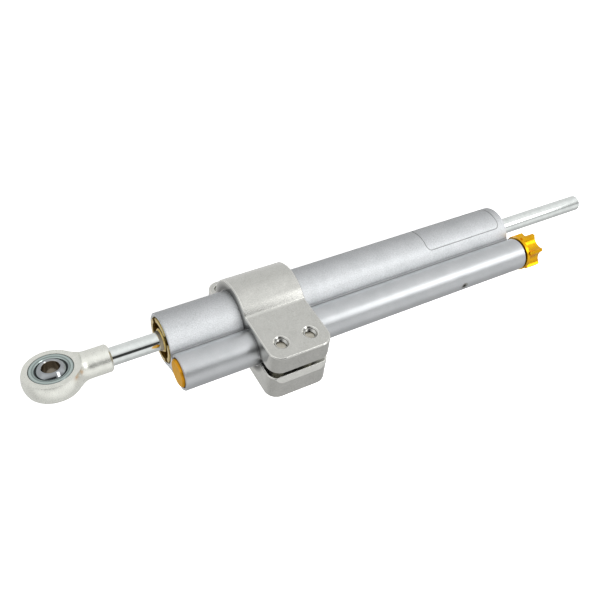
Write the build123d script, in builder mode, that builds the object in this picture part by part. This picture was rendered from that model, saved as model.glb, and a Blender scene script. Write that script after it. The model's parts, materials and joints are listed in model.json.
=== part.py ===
from build123d import *
from math import asin, cos, degrees, pi, radians, sin, sqrt
import os

os.makedirs("parts", exist_ok=True)

# Steering damper, millimetres. The origin is the centre of the rod end's eye, on the rod's axis.
# +X runs along the rod from the eye to the far tip, the valve tube lies on the -Y side of the
# cylinder, and +Z is square to the clamp's flange. The rod end is free to turn about the rod, and
# its bore axis leans a little from +Z towards +Y.

# Clearances
running_fit = 0.04
ring_side_gap = 0.1
seat_gap = 0.02
clamp_gap = 0.15
cut_margin = 1.0
cord_roundness = 0.45
knob_gap = 0.6

# Eye and the rod end
eye_turn = 9.5
eye_bore_d = 8.0
ball_d = 15.9
ball_width = 12.0
ball_chamfer = 0.4
liner_wall = 0.5
liner_width = 8.0
race_d = 20.2
race_rim_chamfer = 0.35
race_mouth_chamfer = 0.5
head_d = 27.6
head_width = 9.2
head_crown = 1.0
shank_d = 13.4
shank_end = 26.4
shank_chamfer = 0.9
neck_radius = 7.0
flat_reach = 13.6
flat_runout = 3.5
rod_thread_d = 8.0
rod_thread_length = 14.0

# Rod
rod_d = 9.0
eye_to_body = 51.3
rod_far_reach = 67.3
rod_tip_chamfer = 1.3

# Twin tube body
body_length = 203.0
cylinder_d = 27.0
cylinder_bore_d = 22.0
gland_bore_d = 23.4
gland_depth = 14.0
valve_tube_d = 17.7
tube_pitch = 21.6
groove_fillet = 0.8
web_radius = 22.0
end_edge_break = 0.35
mouth_chamfer = 0.3
panel_length = 50.0
panel_setback = 4.4
panel_half_angle = 40.0
panel_corner = 3.0
panel_line_width = 0.4
panel_line_depth = 0.2

# Seal heads
head_standout = 0.4
rim_d = 22.4
rim_bore_d = 18.6
rim_height = 4.6
notch_width = 4.4
notch_depth = 3.2
notch_count = 4
hub_d = 11.8
hub_chamfer = 0.5
nose_length = 5.0
wiper_d = 10.0
wiper_width = 2.0
wiper_lip = 1.3
wiper_edge_d = 9.6
rod_seal_d = 13.0
rod_seal_width = 3.0
rod_seal_lip_depth = 1.5
rod_seal_lip_width = 1.6
rod_hole_gap = 0.2
rod_seal_setback = 7.0
bush_d = 11.4
bush_length = 8.0
head_ring_width = 2.0
head_ring_depth = 1.2
head_ring_setback = 9.0

# Piston
piston_offset = 21.5
piston_d = 21.2
piston_length = 14.0
piston_ring_width = 3.0
piston_ring_wall = 1.4
circlip_wall = 2.2
circlip_width = 1.0
circlip_groove = 0.5
circlip_gap = 3.0

# Plug and compensator, in the near half of the valve tube
plug_bore_d = 14.9
plug_depth = 9.0
plug_face_d = 13.8
plug_face_height = 3.9
plug_standout = 1.0
plug_chamfer = 0.6
plug_ring_width = 1.8
plug_ring_depth = 1.0
plug_ring_setback = 3.6
compensator_bore_d = 13.2
compensator_depth = 38.0
compensator_length = 8.0
compensator_cup_depth = 2.0
compensator_ring_width = 1.8
compensator_ring_depth = 1.0
spring_d = 11.4
spring_wire_d = 1.1
spring_turns = 6
spring_gap = 0.2
bypass_bore_d = 8.0

# Metering valve, in the far half of the valve tube
valve_bore_d = 13.2
valve_depth = 53.0
valve_head_depth = 9.0
valve_head_bore_d = 14.9
orifice_d = 3.0
orifice_length = 3.0
valve_port_d = 3.0
valve_port_groove_d = 10.0
valve_port_groove_width = 8.0
valve_ring_width = 1.8
valve_ring_depth = 1.0
valve_ring_setback = 2.7
needle_bore_d = 6.0
needle_d = 3.6
needle_tip_d = 1.2
needle_taper = 5.0
needle_thread_length = 10.0
needle_thread_setback = 14.0
stem_d = 5.0
stem_ring_width = 1.2
stem_ring_depth = 0.7
stem_square = 3.2
needle_travel = 0.75
neck_d = 7.4
neck_length = 5.2
neck_lip = 0.9
snap_ring_wall = 1.2
snap_ring_width = 0.9
snap_ring_groove = 0.5
snap_ring_gap = 2.0
snap_ring_clearance = 0.3

# Adjuster knob and its clicks
knob_length = 10.9
knob_skirt_d = 18.8
knob_skirt_length = 1.6
knob_d = 20.0
knob_valley_d = 14.2
lobe_count = 6
lobe_width = 1.8
lobe_phase = 23.0
knob_pocket_d = 11.0
knob_pocket_depth = 2.0
knob_chamfer = 0.4
detent_radius = 5.7
detent_count = 12
detent_ball_d = 2.0
detent_reach = 0.3
detent_hole_depth = 7.0
detent_track_width = 1.6
detent_wire_d = 0.3
detent_turns = 6

# Cross drillings and their screws
drilling_d = 3.0
near_drilling = 44.0
far_drilling = 43.0
port_screw_d = 4.0
port_screw_length = 2.0
port_screw_recess = 0.15
port_screw_socket = 2.0
port_screw_socket_depth = 1.2

# Clamp
clamp_start = 36.9
clamp_width = 32.4
clamp_d = 38.0
flange_top = 12.9
flange_fillet = 2.2
flange_reach = 43.4
flange_corner = 6.5
slit_height = 4.2
base_depth = 16.2
edge_break = 0.45
jaw_bevel_depth = 1.3
jaw_bevel_height = 3.2
ear_reach = 31.0
ear_height = 10.0
ear_corner = 5.8
ear_hole_d = 6.6
ear_hole_spacing = 20.4
ear_hole_y = 25.2
clamp_screw_spacing = 15.3
clamp_screw_edge = 9.3
clamp_screw_d = 6.0
clamp_screw_hole_d = 6.6
screw_head_d = 10.0
screw_head_length = 6.0
screw_head_clearance = 0.6
screw_socket = 5.0
screw_socket_depth = 3.0
screw_end_depth = 2.5
screw_end_chamfer = 0.6
rim_countersink_d = 7.8

# Derived places
rod_r = rod_d / 2
near_face = eye_to_body
far_face = near_face + body_length
rod_tip = far_face + rod_far_reach
valve_y = -tube_pitch
piston_x = near_face + body_length / 2 + piston_offset
clamp_x = near_face + clamp_start
clamp_mid = clamp_x + clamp_width / 2
knob_start = far_face + knob_gap
knob_end = knob_start + knob_length
drilling_places = (near_face + near_drilling, far_face - far_drilling)

rod_axis = Axis((0, 0, 0), (1, 0, 0))
valve_axis = Axis((0, valve_y, 0), (1, 0, 0))
eye_lean = radians(eye_turn)
eye_axis = Axis((0, 0, 0), (0, sin(eye_lean), cos(eye_lean)))
eye_plane = Plane((0, 0, 0), x_dir=(1, 0, 0), z_dir=(0, sin(eye_lean), cos(eye_lean)))
eye_section = Plane((0, 0, 0), x_dir=(1, 0, 0), z_dir=(0, -cos(eye_lean), sin(eye_lean)))
rod_plane = Plane.XZ
valve_plane = Plane.XZ.offset(tube_pitch)


# Half section of a turned piece, as (place along the axis, radius) corners
def half_section(plane, *corners):
    with BuildSketch(plane) as profile:
        with BuildLine():
            Polyline(*corners, close=True)
        make_face()
    return profile.sketch


# Half section of a plain ring between two places along the axis
def ring_section(plane, start, end, outer_r, inner_r=0.0):
    return half_section(plane, (start, inner_r), (end, inner_r), (end, outer_r), (start, outer_r))


# Half section of an O-ring: a round cord squeezed a little flat against both walls
def cord_section(plane, middle, width, outer_r, depth):
    with BuildSketch(plane) as profile:
        with Locations((middle, outer_r - depth / 2)):
            RectangleRounded(width - ring_side_gap, depth,
                             min(width - ring_side_gap, depth) * cord_roundness)
    return profile.sketch


# Place along X at a depth inside the near or the far end of the body
def inboard(side, depth):
    return near_face + depth if side == "near" else far_face - depth


# Wire wound into a compression spring along X, its ends half a wire inside the two seats
def coil_spring(start, end, y, z, coil_d, wire_d, turns):
    height = end - start - wire_d
    seat = Plane((start + wire_d / 2, y, z), x_dir=(0, 0, 1), z_dir=(1, 0, 0))
    path = seat * Helix(pitch=height / turns, height=height, radius=(coil_d - wire_d) / 2)
    section = Plane(path @ 0, z_dir=path % 0) * RegularPolygon(radius=wire_d / 2, side_count=6)
    return sweep(section, path=path, is_frenet=True)


# Outline of both tubes, grown by a gap: a narrow groove between them on top, a hollow web below
def twin_outline(plane, grow=0.0):
    with BuildSketch(plane) as outline:
        Circle(cylinder_d / 2 + grow)
        with Locations((valve_y, 0)):
            Circle(valve_tube_d / 2 + grow)
        groove = outline.vertices().filter_by_position(Axis.X, valve_y, 0).sort_by(Axis.Y)[-1]
        fillet(groove, groove_fillet - grow)
        web = outline.vertices().filter_by_position(Axis.X, valve_y, 0).sort_by(Axis.Y)[0]
        fillet(web, web_radius - grow)
    return outline.sketch


# Engraved line round the panel on top of the cylinder's far end, an even depth all over
panel_half_width = cylinder_d / 2 * sin(radians(panel_half_angle))
with BuildPart() as panel_line:
    with BuildSketch(Plane.XY):
        with Locations((far_face - panel_setback - panel_length / 2, 0)):
            RectangleRounded(panel_length, 2 * panel_half_width, panel_corner)
            RectangleRounded(panel_length - 2 * panel_line_width,
                             2 * (panel_half_width - panel_line_width),
                             panel_corner - panel_line_width, mode=Mode.SUBTRACT)
    extrude(amount=cylinder_d)
    revolve(ring_section(rod_plane, near_face, far_face, cylinder_d, cylinder_d / 2 - panel_line_depth),
            axis=rod_axis, mode=Mode.INTERSECT)

# Twin tube body: one extrusion, bored from both ends
with BuildPart() as twin_tube_body:
    extrude(twin_outline(Plane.YZ.offset(near_face)), amount=body_length)
    ends = twin_tube_body.faces().filter_by(Axis.X)
    chamfer(ends.edges(), end_edge_break)
    # cylinder bore, with a wider gland bore and a chamfered mouth at both ends
    revolve(ring_section(rod_plane, near_face, far_face, cylinder_bore_d / 2), axis=rod_axis,
            mode=Mode.SUBTRACT)
    for side in ("near", "far"):
        revolve(half_section(rod_plane, (inboard(side, 0), 0), (inboard(side, gland_depth), 0),
                             (inboard(side, gland_depth), gland_bore_d / 2),
                             (inboard(side, mouth_chamfer), gland_bore_d / 2),
                             (inboard(side, 0), gland_bore_d / 2 + mouth_chamfer)),
                axis=rod_axis, mode=Mode.SUBTRACT)
    # valve tube: plug bore, compensator bore, bypass, valve bore and the valve's head bore
    revolve(half_section(valve_plane, (near_face, 0),
                         (near_face, plug_bore_d / 2 + mouth_chamfer),
                         (near_face + mouth_chamfer, plug_bore_d / 2),
                         (near_face + plug_depth, plug_bore_d / 2),
                         (near_face + plug_depth, compensator_bore_d / 2),
                         (near_face + compensator_depth, compensator_bore_d / 2),
                         (near_face + compensator_depth, bypass_bore_d / 2),
                         (far_face - valve_depth, bypass_bore_d / 2),
                         (far_face - valve_depth, valve_bore_d / 2),
                         (far_face - valve_head_depth, valve_bore_d / 2),
                         (far_face - valve_head_depth, valve_head_bore_d / 2),
                         (far_face - mouth_chamfer, valve_head_bore_d / 2),
                         (far_face, valve_head_bore_d / 2 + mouth_chamfer),
                         (far_face, 0)),
            axis=valve_axis, mode=Mode.SUBTRACT)
    # cross drillings, made from outside the valve tube through to the cylinder
    outside = tube_pitch + valve_tube_d / 2 + cut_margin
    for place in drilling_places:
        with BuildSketch(Plane.XZ.offset(outside)):
            with Locations((place, 0)):
                Circle(drilling_d / 2)
        extrude(amount=cylinder_bore_d / 2 - cut_margin - outside, mode=Mode.SUBTRACT)
        with BuildSketch(Plane.XZ.offset(outside)):
            with Locations((place, 0)):
                Circle(port_screw_d / 2)
        extrude(amount=-(cut_margin + port_screw_recess + port_screw_length), mode=Mode.SUBTRACT)
    add(panel_line.part, mode=Mode.SUBTRACT)
twin_tube_body.part.label = "twin_tube_body"
export_step(twin_tube_body.part, "parts/twin_tube_body.step")

# Grub screws that close the cross drillings, set just below the tube's surface
with BuildPart() as port_screws:
    with BuildSketch(Plane.XZ.offset(tube_pitch + valve_tube_d / 2 - port_screw_recess)):
        with Locations(*((place, 0) for place in drilling_places)):
            Circle(port_screw_d / 2)
    extrude(amount=-port_screw_length)
    with BuildSketch(Plane.XZ.offset(tube_pitch + valve_tube_d / 2 - port_screw_recess)):
        with Locations(*((place, 0) for place in drilling_places)):
            RegularPolygon(port_screw_socket / 2, 6, major_radius=False)
    extrude(amount=-port_screw_socket_depth, mode=Mode.SUBTRACT)
port_screws.part.label = "port_screws"
export_step(port_screws.part, "parts/port_screws.step")

# Seal heads: a castellated rim for the pin spanner, a hub round the rod, and a nose with the bush
for side in ("near", "far"):
    head_end = gland_depth + nose_length
    head_front = -head_standout
    rim_floor = head_front + rim_height
    wiper_floor = head_front + wiper_width
    seal_front = head_front + rod_seal_setback
    seal_back = seal_front + rod_seal_width
    bush_front = head_end - bush_length
    rod_hole_r = rod_r + rod_hole_gap
    head_ring_front = head_front + head_ring_setback
    head_ring_back = head_ring_front + head_ring_width
    groove_r = gland_bore_d / 2 - head_ring_depth
    with BuildPart() as seal_head:
        revolve(half_section(rod_plane,
                             (inboard(side, head_front), rim_bore_d / 2),
                             (inboard(side, head_front), rim_d / 2),
                             (inboard(side, rim_floor), rim_d / 2),
                             (inboard(side, rim_floor), gland_bore_d / 2),
                             (inboard(side, head_ring_front), gland_bore_d / 2),
                             (inboard(side, head_ring_front), groove_r),
                             (inboard(side, head_ring_back), groove_r),
                             (inboard(side, head_ring_back), gland_bore_d / 2),
                             (inboard(side, gland_depth), gland_bore_d / 2),
                             (inboard(side, gland_depth), cylinder_bore_d / 2),
                             (inboard(side, head_end), cylinder_bore_d / 2),
                             (inboard(side, head_end), bush_d / 2),
                             (inboard(side, bush_front), bush_d / 2),
                             (inboard(side, bush_front), rod_hole_r),
                             (inboard(side, seal_back), rod_hole_r),
                             (inboard(side, seal_back), rod_seal_d / 2),
                             (inboard(side, seal_front), rod_seal_d / 2),
                             (inboard(side, seal_front), rod_hole_r),
                             (inboard(side, wiper_floor), rod_hole_r),
                             (inboard(side, wiper_floor), wiper_d / 2),
                             (inboard(side, head_front), wiper_d / 2),
                             (inboard(side, head_front), hub_d / 2 - hub_chamfer),
                             (inboard(side, head_front + hub_chamfer), hub_d / 2),
                             (inboard(side, rim_floor), hub_d / 2),
                             (inboard(side, rim_floor), rim_bore_d / 2)),
                axis=rod_axis)
        # spanner notches across the rim
        with BuildSketch(Plane.YZ.offset(inboard(side, head_front))):
            with PolarLocations((rim_d + rim_bore_d) / 4, notch_count, start_angle=45):
                Rectangle(rim_d - rim_bore_d, notch_width)
        extrude(amount=inboard(side, notch_depth) - inboard(side, 0), mode=Mode.SUBTRACT)
    seal_head.part.label = f"seal_head_{side}"
    export_step(seal_head.part, f"parts/seal_head_{side}.step")

    with BuildPart() as rod_bush:
        revolve(ring_section(rod_plane, inboard(side, bush_front), inboard(side, head_end),
                             bush_d / 2, rod_r + running_fit), axis=rod_axis)
    rod_bush.part.label = f"rod_bush_{side}"
    export_step(rod_bush.part, f"parts/rod_bush_{side}.step")

    # the seal's lip faces the oil, with a groove behind it
    with BuildPart() as rod_seal:
        revolve(ring_section(rod_plane, inboard(side, seal_front), inboard(side, seal_back),
                             rod_seal_d / 2, rod_r + running_fit), axis=rod_axis)
        lip_mid = (rod_seal_d / 2 + rod_r) / 2
        revolve(half_section(rod_plane, (inboard(side, seal_back), lip_mid - rod_seal_lip_width / 2),
                             (inboard(side, seal_back), lip_mid + rod_seal_lip_width / 2),
                             (inboard(side, seal_back - rod_seal_lip_depth), lip_mid)),
                axis=rod_axis, mode=Mode.SUBTRACT)
    rod_seal.part.label = f"rod_seal_{side}"
    export_step(rod_seal.part, f"parts/rod_seal_{side}.step")

    # the wiper's lip stands out of the hub and narrows to a scraping edge at the rod
    with BuildPart() as wiper:
        revolve(half_section(rod_plane, (inboard(side, wiper_floor), rod_r + running_fit),
                             (inboard(side, wiper_floor), wiper_d / 2),
                             (inboard(side, head_front), wiper_d / 2),
                             (inboard(side, head_front - wiper_lip), wiper_edge_d / 2),
                             (inboard(side, head_front - wiper_lip), rod_r + running_fit)),
                axis=rod_axis)
    wiper.part.label = f"wiper_{side}"
    export_step(wiper.part, f"parts/wiper_{side}.step")

    with BuildPart() as head_o_ring:
        revolve(cord_section(rod_plane, inboard(side, (head_ring_front + head_ring_back) / 2),
                             head_ring_width, gland_bore_d / 2, head_ring_depth), axis=rod_axis)
    head_o_ring.part.label = f"head_o_ring_{side}"
    export_step(head_o_ring.part, f"parts/head_o_ring_{side}.step")

# Plug at the near end of the valve tube
plug_front = near_face - plug_standout
plug_shoulder = plug_front + plug_face_height
plug_back = near_face + plug_depth
plug_groove = plug_back - plug_ring_setback
with BuildPart() as plug:
    revolve(half_section(valve_plane, (plug_front, 0),
                         (plug_front, plug_face_d / 2 - plug_chamfer),
                         (plug_front + plug_chamfer, plug_face_d / 2),
                         (plug_shoulder, plug_face_d / 2),
                         (plug_shoulder, plug_bore_d / 2),
                         (plug_groove, plug_bore_d / 2),
                         (plug_groove, plug_bore_d / 2 - plug_ring_depth),
                         (plug_groove + plug_ring_width, plug_bore_d / 2 - plug_ring_depth),
                         (plug_groove + plug_ring_width, plug_bore_d / 2),
                         (plug_back, plug_bore_d / 2),
                         (plug_back, 0)), axis=valve_axis)
plug.part.label = "valve_tube_plug"
export_step(plug.part, "parts/valve_tube_plug.step")

with BuildPart() as plug_o_ring:
    revolve(cord_section(valve_plane, plug_groove + plug_ring_width / 2, plug_ring_width,
                         plug_bore_d / 2, plug_ring_depth), axis=valve_axis)
plug_o_ring.part.label = "plug_o_ring"
export_step(plug_o_ring.part, "parts/plug_o_ring.step")

# Compensator: a floating piston that rests on the bore's shoulder, pushed there by its spring
comp_back = near_face + compensator_depth - seat_gap
comp_front = comp_back - compensator_length
comp_mid = (comp_front + comp_back) / 2
comp_r = compensator_bore_d / 2 - running_fit
comp_groove_r = comp_r - compensator_ring_depth
cup_r = spring_d / 2 + spring_gap
cup_floor = comp_front + compensator_cup_depth
with BuildPart() as compensator_piston:
    revolve(half_section(valve_plane, (cup_floor, 0), (cup_floor, cup_r), (comp_front, cup_r),
                         (comp_front, comp_r),
                         (comp_mid - compensator_ring_width / 2, comp_r),
                         (comp_mid - compensator_ring_width / 2, comp_groove_r),
                         (comp_mid + compensator_ring_width / 2, comp_groove_r),
                         (comp_mid + compensator_ring_width / 2, comp_r),
                         (comp_back, comp_r), (comp_back, 0)), axis=valve_axis)
compensator_piston.part.label = "compensator_piston"
export_step(compensator_piston.part, "parts/compensator_piston.step")

with BuildPart() as compensator_o_ring:
    revolve(cord_section(valve_plane, comp_mid, compensator_ring_width, comp_r,
                         compensator_ring_depth), axis=valve_axis)
compensator_o_ring.part.label = "compensator_o_ring"
export_step(compensator_o_ring.part, "parts/compensator_o_ring.step")

compensator_spring = coil_spring(plug_back, cup_floor, valve_y, 0, spring_d, spring_wire_d,
                                 spring_turns)
compensator_spring.label = "compensator_spring"
export_step(compensator_spring, "parts/compensator_spring.step")

# Metering valve housing: orifice at its nose, a port groove on the far drilling, a head that closes
# the tube, and a neck that carries the knob
valve_nose = far_face - valve_depth
port_x = drilling_places[-1]
port_front = port_x - valve_port_groove_width / 2
port_back = port_x + valve_port_groove_width / 2
thread_end = far_face - needle_thread_setback
thread_start = thread_end - needle_thread_length
valve_head_front = far_face - valve_head_depth
neck_end = far_face + neck_length
snap_front = neck_end - neck_lip - snap_ring_width
snap_back = snap_front + snap_ring_width
valve_r = valve_bore_d / 2
valve_ring_places = (valve_nose + valve_ring_setback, port_back + valve_ring_setback)
stem_bore_r = stem_d / 2 + running_fit
with BuildPart() as valve_housing:
    revolve(half_section(valve_plane, (valve_nose, orifice_d / 2), (valve_nose, valve_r),
                         (port_front, valve_r), (port_front, valve_port_groove_d / 2),
                         (port_back, valve_port_groove_d / 2), (port_back, valve_r),
                         (valve_head_front, valve_r), (valve_head_front, valve_head_bore_d / 2),
                         (far_face, valve_head_bore_d / 2), (far_face, neck_d / 2),
                         (neck_end, neck_d / 2), (neck_end, stem_bore_r),
                         (thread_end, stem_bore_r), (thread_end, needle_bore_d / 2),
                         (valve_nose + orifice_length, needle_bore_d / 2),
                         (valve_nose + orifice_length, orifice_d / 2)), axis=valve_axis)
    for place in valve_ring_places:
        revolve(ring_section(valve_plane, place - valve_ring_width / 2, place + valve_ring_width / 2,
                             valve_r, valve_r - valve_ring_depth), axis=valve_axis,
                mode=Mode.SUBTRACT)
    # groove for the snap ring
    revolve(ring_section(valve_plane, snap_front, snap_back, neck_d / 2,
                         neck_d / 2 - snap_ring_groove), axis=valve_axis, mode=Mode.SUBTRACT)
    # cross holes from the port groove into the needle's bore
    with BuildSketch(Plane.XZ.offset(tube_pitch)):
        with Locations((port_x, 0)):
            Circle(valve_port_d / 2)
    extrude(amount=valve_port_groove_d / 2, both=True, mode=Mode.SUBTRACT)
    # blind hole in the head's face for the detent
    with BuildSketch(Plane.YZ.offset(far_face)):
        with Locations((valve_y, -detent_radius)):
            Circle(detent_ball_d / 2 + running_fit)
    extrude(amount=-detent_hole_depth, mode=Mode.SUBTRACT)
valve_housing.part.label = "valve_housing"
export_step(valve_housing.part, "parts/valve_housing.step")

with BuildPart() as valve_o_rings:
    for place in valve_ring_places:
        revolve(cord_section(valve_plane, place, valve_ring_width, valve_r, valve_ring_depth),
                axis=valve_axis)
valve_o_rings.part.label = "valve_o_rings"
export_step(valve_o_rings.part, "parts/valve_o_rings.step")

# Metering needle: taper, thread, sealed stem, and a square end that slides in the knob
needle_tip = valve_nose + orifice_length / 2
square_start = neck_end + neck_lip
square_end = knob_end - knob_pocket_depth
stem_r = stem_d / 2
stem_ring = far_face - valve_head_depth / 2
thread_r = needle_bore_d / 2 - running_fit
thread_top = thread_end - needle_travel - ring_side_gap
with BuildPart() as metering_needle:
    revolve(half_section(valve_plane, (needle_tip, 0), (needle_tip, needle_tip_d / 2),
                         (needle_tip + needle_taper, needle_d / 2),
                         (thread_start, needle_d / 2), (thread_start, thread_r),
                         (thread_top, thread_r), (thread_top, stem_r),
                         (stem_ring - stem_ring_width / 2, stem_r),
                         (stem_ring - stem_ring_width / 2, stem_r - stem_ring_depth),
                         (stem_ring + stem_ring_width / 2, stem_r - stem_ring_depth),
                         (stem_ring + stem_ring_width / 2, stem_r),
                         (square_start, stem_r), (square_start, 0)), axis=valve_axis)
    with BuildSketch(Plane.YZ.offset(square_start)):
        with Locations((valve_y, 0)):
            Rectangle(stem_square, stem_square)
    extrude(amount=square_end - square_start)
metering_needle.part.label = "metering_needle"
export_step(metering_needle.part, "parts/metering_needle.step")

with BuildPart() as needle_o_ring:
    revolve(cord_section(valve_plane, stem_ring, stem_ring_width, stem_r, stem_ring_depth),
            axis=valve_axis)
needle_o_ring.part.label = "needle_o_ring"
export_step(needle_o_ring.part, "parts/needle_o_ring.step")


# Open ring of flat spring steel, its gap pointing down
def open_ring(plane, width, outer_r, inner_r, gap):
    with BuildPart() as ring:
        with BuildSketch(plane):
            Circle(outer_r)
            Circle(inner_r, mode=Mode.SUBTRACT)
            with Locations((0, -(outer_r + inner_r) / 2)):
                Rectangle(gap, outer_r, mode=Mode.SUBTRACT)
        extrude(amount=width)
    return ring.part


snap_r = neck_d / 2 - snap_ring_groove
snap_ring = open_ring(Plane((snap_front, valve_y, 0), x_dir=(0, 1, 0), z_dir=(1, 0, 0)),
                      snap_ring_width, snap_r + snap_ring_wall, snap_r, snap_ring_gap)
snap_ring.label = "knob_snap_ring"
export_step(snap_ring, "parts/knob_snap_ring.step")

# Detent: the ball stands out of the housing's face into the knob's track
ball_x = knob_start + detent_reach - detent_ball_d / 2
with BuildPart() as detent_ball:
    with BuildSketch(Plane((ball_x, valve_y, -detent_radius), x_dir=(1, 0, 0), z_dir=(0, 1, 0))):
        Circle(detent_ball_d / 2)
        with Locations((0, -detent_ball_d / 2)):
            Rectangle(detent_ball_d, detent_ball_d, mode=Mode.SUBTRACT)
    revolve(axis=Axis((ball_x, valve_y, -detent_radius), (1, 0, 0)))
detent_ball.part.label = "detent_ball"
export_step(detent_ball.part, "parts/detent_ball.step")

detent_spring = coil_spring(far_face - detent_hole_depth, ball_x - detent_ball_d / 2, valve_y,
                            -detent_radius, detent_ball_d, detent_wire_d, detent_turns)
detent_spring.label = "detent_spring"
export_step(detent_spring, "parts/detent_spring.step")

# Adjuster knob: a round skirt, then narrow lobes left standing between round scallops
lobe_pitch = 2 * pi / lobe_count
skirt_end = knob_start + knob_skirt_length
valley_r = knob_valley_d / 2
tip_r = knob_d / 2
tip_angle = lobe_pitch / 2 - lobe_width / knob_d
# circle through the valley's floor and both lobe edges
tip_y = tip_r * sin(tip_angle)
tip_x = tip_r * cos(tip_angle)
scallop_centre = (tip_x ** 2 + tip_y ** 2 - valley_r ** 2) / (2 * (tip_x - valley_r))
scallop_r = scallop_centre - valley_r
bore_end = square_start + needle_travel + ring_side_gap
with BuildPart() as knob:
    with BuildSketch(Plane.YZ.offset(knob_start)):
        with Locations((valve_y, 0)):
            Circle(knob_skirt_d / 2)
    extrude(amount=knob_skirt_length)
    with BuildSketch(Plane.YZ.offset(skirt_end)):
        with Locations((valve_y, 0)):
            Circle(tip_r)
            with PolarLocations(scallop_centre, lobe_count,
                                start_angle=lobe_phase + 180 / lobe_count):
                Circle(scallop_r, mode=Mode.SUBTRACT)
    extrude(amount=knob_length - knob_skirt_length)
    chamfer(knob.faces().sort_by(Axis.X)[-1].edges(), knob_chamfer)
    # bore on the valve's neck, groove that clears the snap ring, square hole for the needle
    revolve(half_section(valve_plane, (knob_start, 0), (knob_start, neck_d / 2 + running_fit),
                         (snap_front - ring_side_gap, neck_d / 2 + running_fit),
                         (snap_front - ring_side_gap, snap_r + snap_ring_wall + snap_ring_clearance),
                         (snap_back + ring_side_gap, snap_r + snap_ring_wall + snap_ring_clearance),
                         (snap_back + ring_side_gap, neck_d / 2 + running_fit),
                         (bore_end, neck_d / 2 + running_fit),
                         (bore_end, 0)), axis=valve_axis, mode=Mode.SUBTRACT)
    with BuildSketch(Plane.YZ.offset(square_start)):
        with Locations((valve_y, 0)):
            Rectangle(stem_square + 2 * ring_side_gap, stem_square + 2 * ring_side_gap)
    extrude(amount=knob_end - square_start, mode=Mode.SUBTRACT)
    revolve(ring_section(valve_plane, knob_end - knob_pocket_depth, knob_end, knob_pocket_d / 2),
            axis=valve_axis, mode=Mode.SUBTRACT)
    # ball track round the inner face, with a deeper pocket for each click
    revolve(ring_section(valve_plane, knob_start, knob_start + detent_reach + ring_side_gap,
                         detent_radius + detent_track_width / 2,
                         detent_radius - detent_track_width / 2), axis=valve_axis,
            mode=Mode.SUBTRACT)
    with BuildSketch(Plane.YZ.offset(knob_start)):
        with Locations((valve_y, 0)):
            with PolarLocations(detent_radius, detent_count, start_angle=-90):
                Circle(detent_track_width / 2)
    extrude(amount=2 * detent_reach + ring_side_gap, mode=Mode.SUBTRACT)
knob.part.label = "adjuster_knob"
export_step(knob.part, "parts/adjuster_knob.step")

# Piston rod: reduced end in the rod end's shank, circlip grooves either side of the piston
clip_front = piston_x - piston_length / 2 - seat_gap - circlip_width
clip_back = piston_x + piston_length / 2 + seat_gap
thread_tip = shank_end - rod_thread_length
with BuildPart() as piston_rod:
    revolve(half_section(rod_plane, (thread_tip, 0), (thread_tip, rod_thread_d / 2),
                         (shank_end, rod_thread_d / 2), (shank_end, rod_r),
                         (rod_tip - rod_tip_chamfer, rod_r),
                         (rod_tip, rod_r - rod_tip_chamfer), (rod_tip, 0)), axis=rod_axis)
    for place in (clip_front, clip_back):
        revolve(ring_section(rod_plane, place, place + circlip_width, rod_r,
                             rod_r - circlip_groove), axis=rod_axis, mode=Mode.SUBTRACT)
piston_rod.part.label = "piston_rod"
export_step(piston_rod.part, "parts/piston_rod.step")

# Piston on the rod, with a groove for its ring
ring_bottom = cylinder_bore_d / 2 - running_fit - piston_ring_wall
ring_groove_r = ring_bottom - ring_side_gap
ring_groove_half = piston_ring_width / 2 + ring_side_gap
with BuildPart() as piston:
    revolve(half_section(rod_plane, (piston_x - piston_length / 2, rod_r),
                         (piston_x - piston_length / 2, piston_d / 2),
                         (piston_x - ring_groove_half, piston_d / 2),
                         (piston_x - ring_groove_half, ring_groove_r),
                         (piston_x + ring_groove_half, ring_groove_r),
                         (piston_x + ring_groove_half, piston_d / 2),
                         (piston_x + piston_length / 2, piston_d / 2),
                         (piston_x + piston_length / 2, rod_r)), axis=rod_axis)
piston.part.label = "piston"
export_step(piston.part, "parts/piston.step")

with BuildPart() as piston_ring:
    revolve(ring_section(rod_plane, piston_x - piston_ring_width / 2,
                         piston_x + piston_ring_width / 2, cylinder_bore_d / 2 - running_fit,
                         ring_bottom), axis=rod_axis)
piston_ring.part.label = "piston_ring"
export_step(piston_ring.part, "parts/piston_ring.step")

clip_r = rod_r - circlip_groove
for place, name in ((clip_front, "piston_circlip_near"), (clip_back, "piston_circlip_far")):
    circlip = open_ring(Plane.YZ.offset(place), circlip_width, clip_r + circlip_wall, clip_r,
                        circlip_gap)
    circlip.label = name
    export_step(circlip, f"parts/{name}.step")

# Rod end housing: a crowned round head with flat faces, and a round shank joined by fillets
head_r = head_d / 2
face_r = head_r - head_crown
shank_r = shank_d / 2
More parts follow.
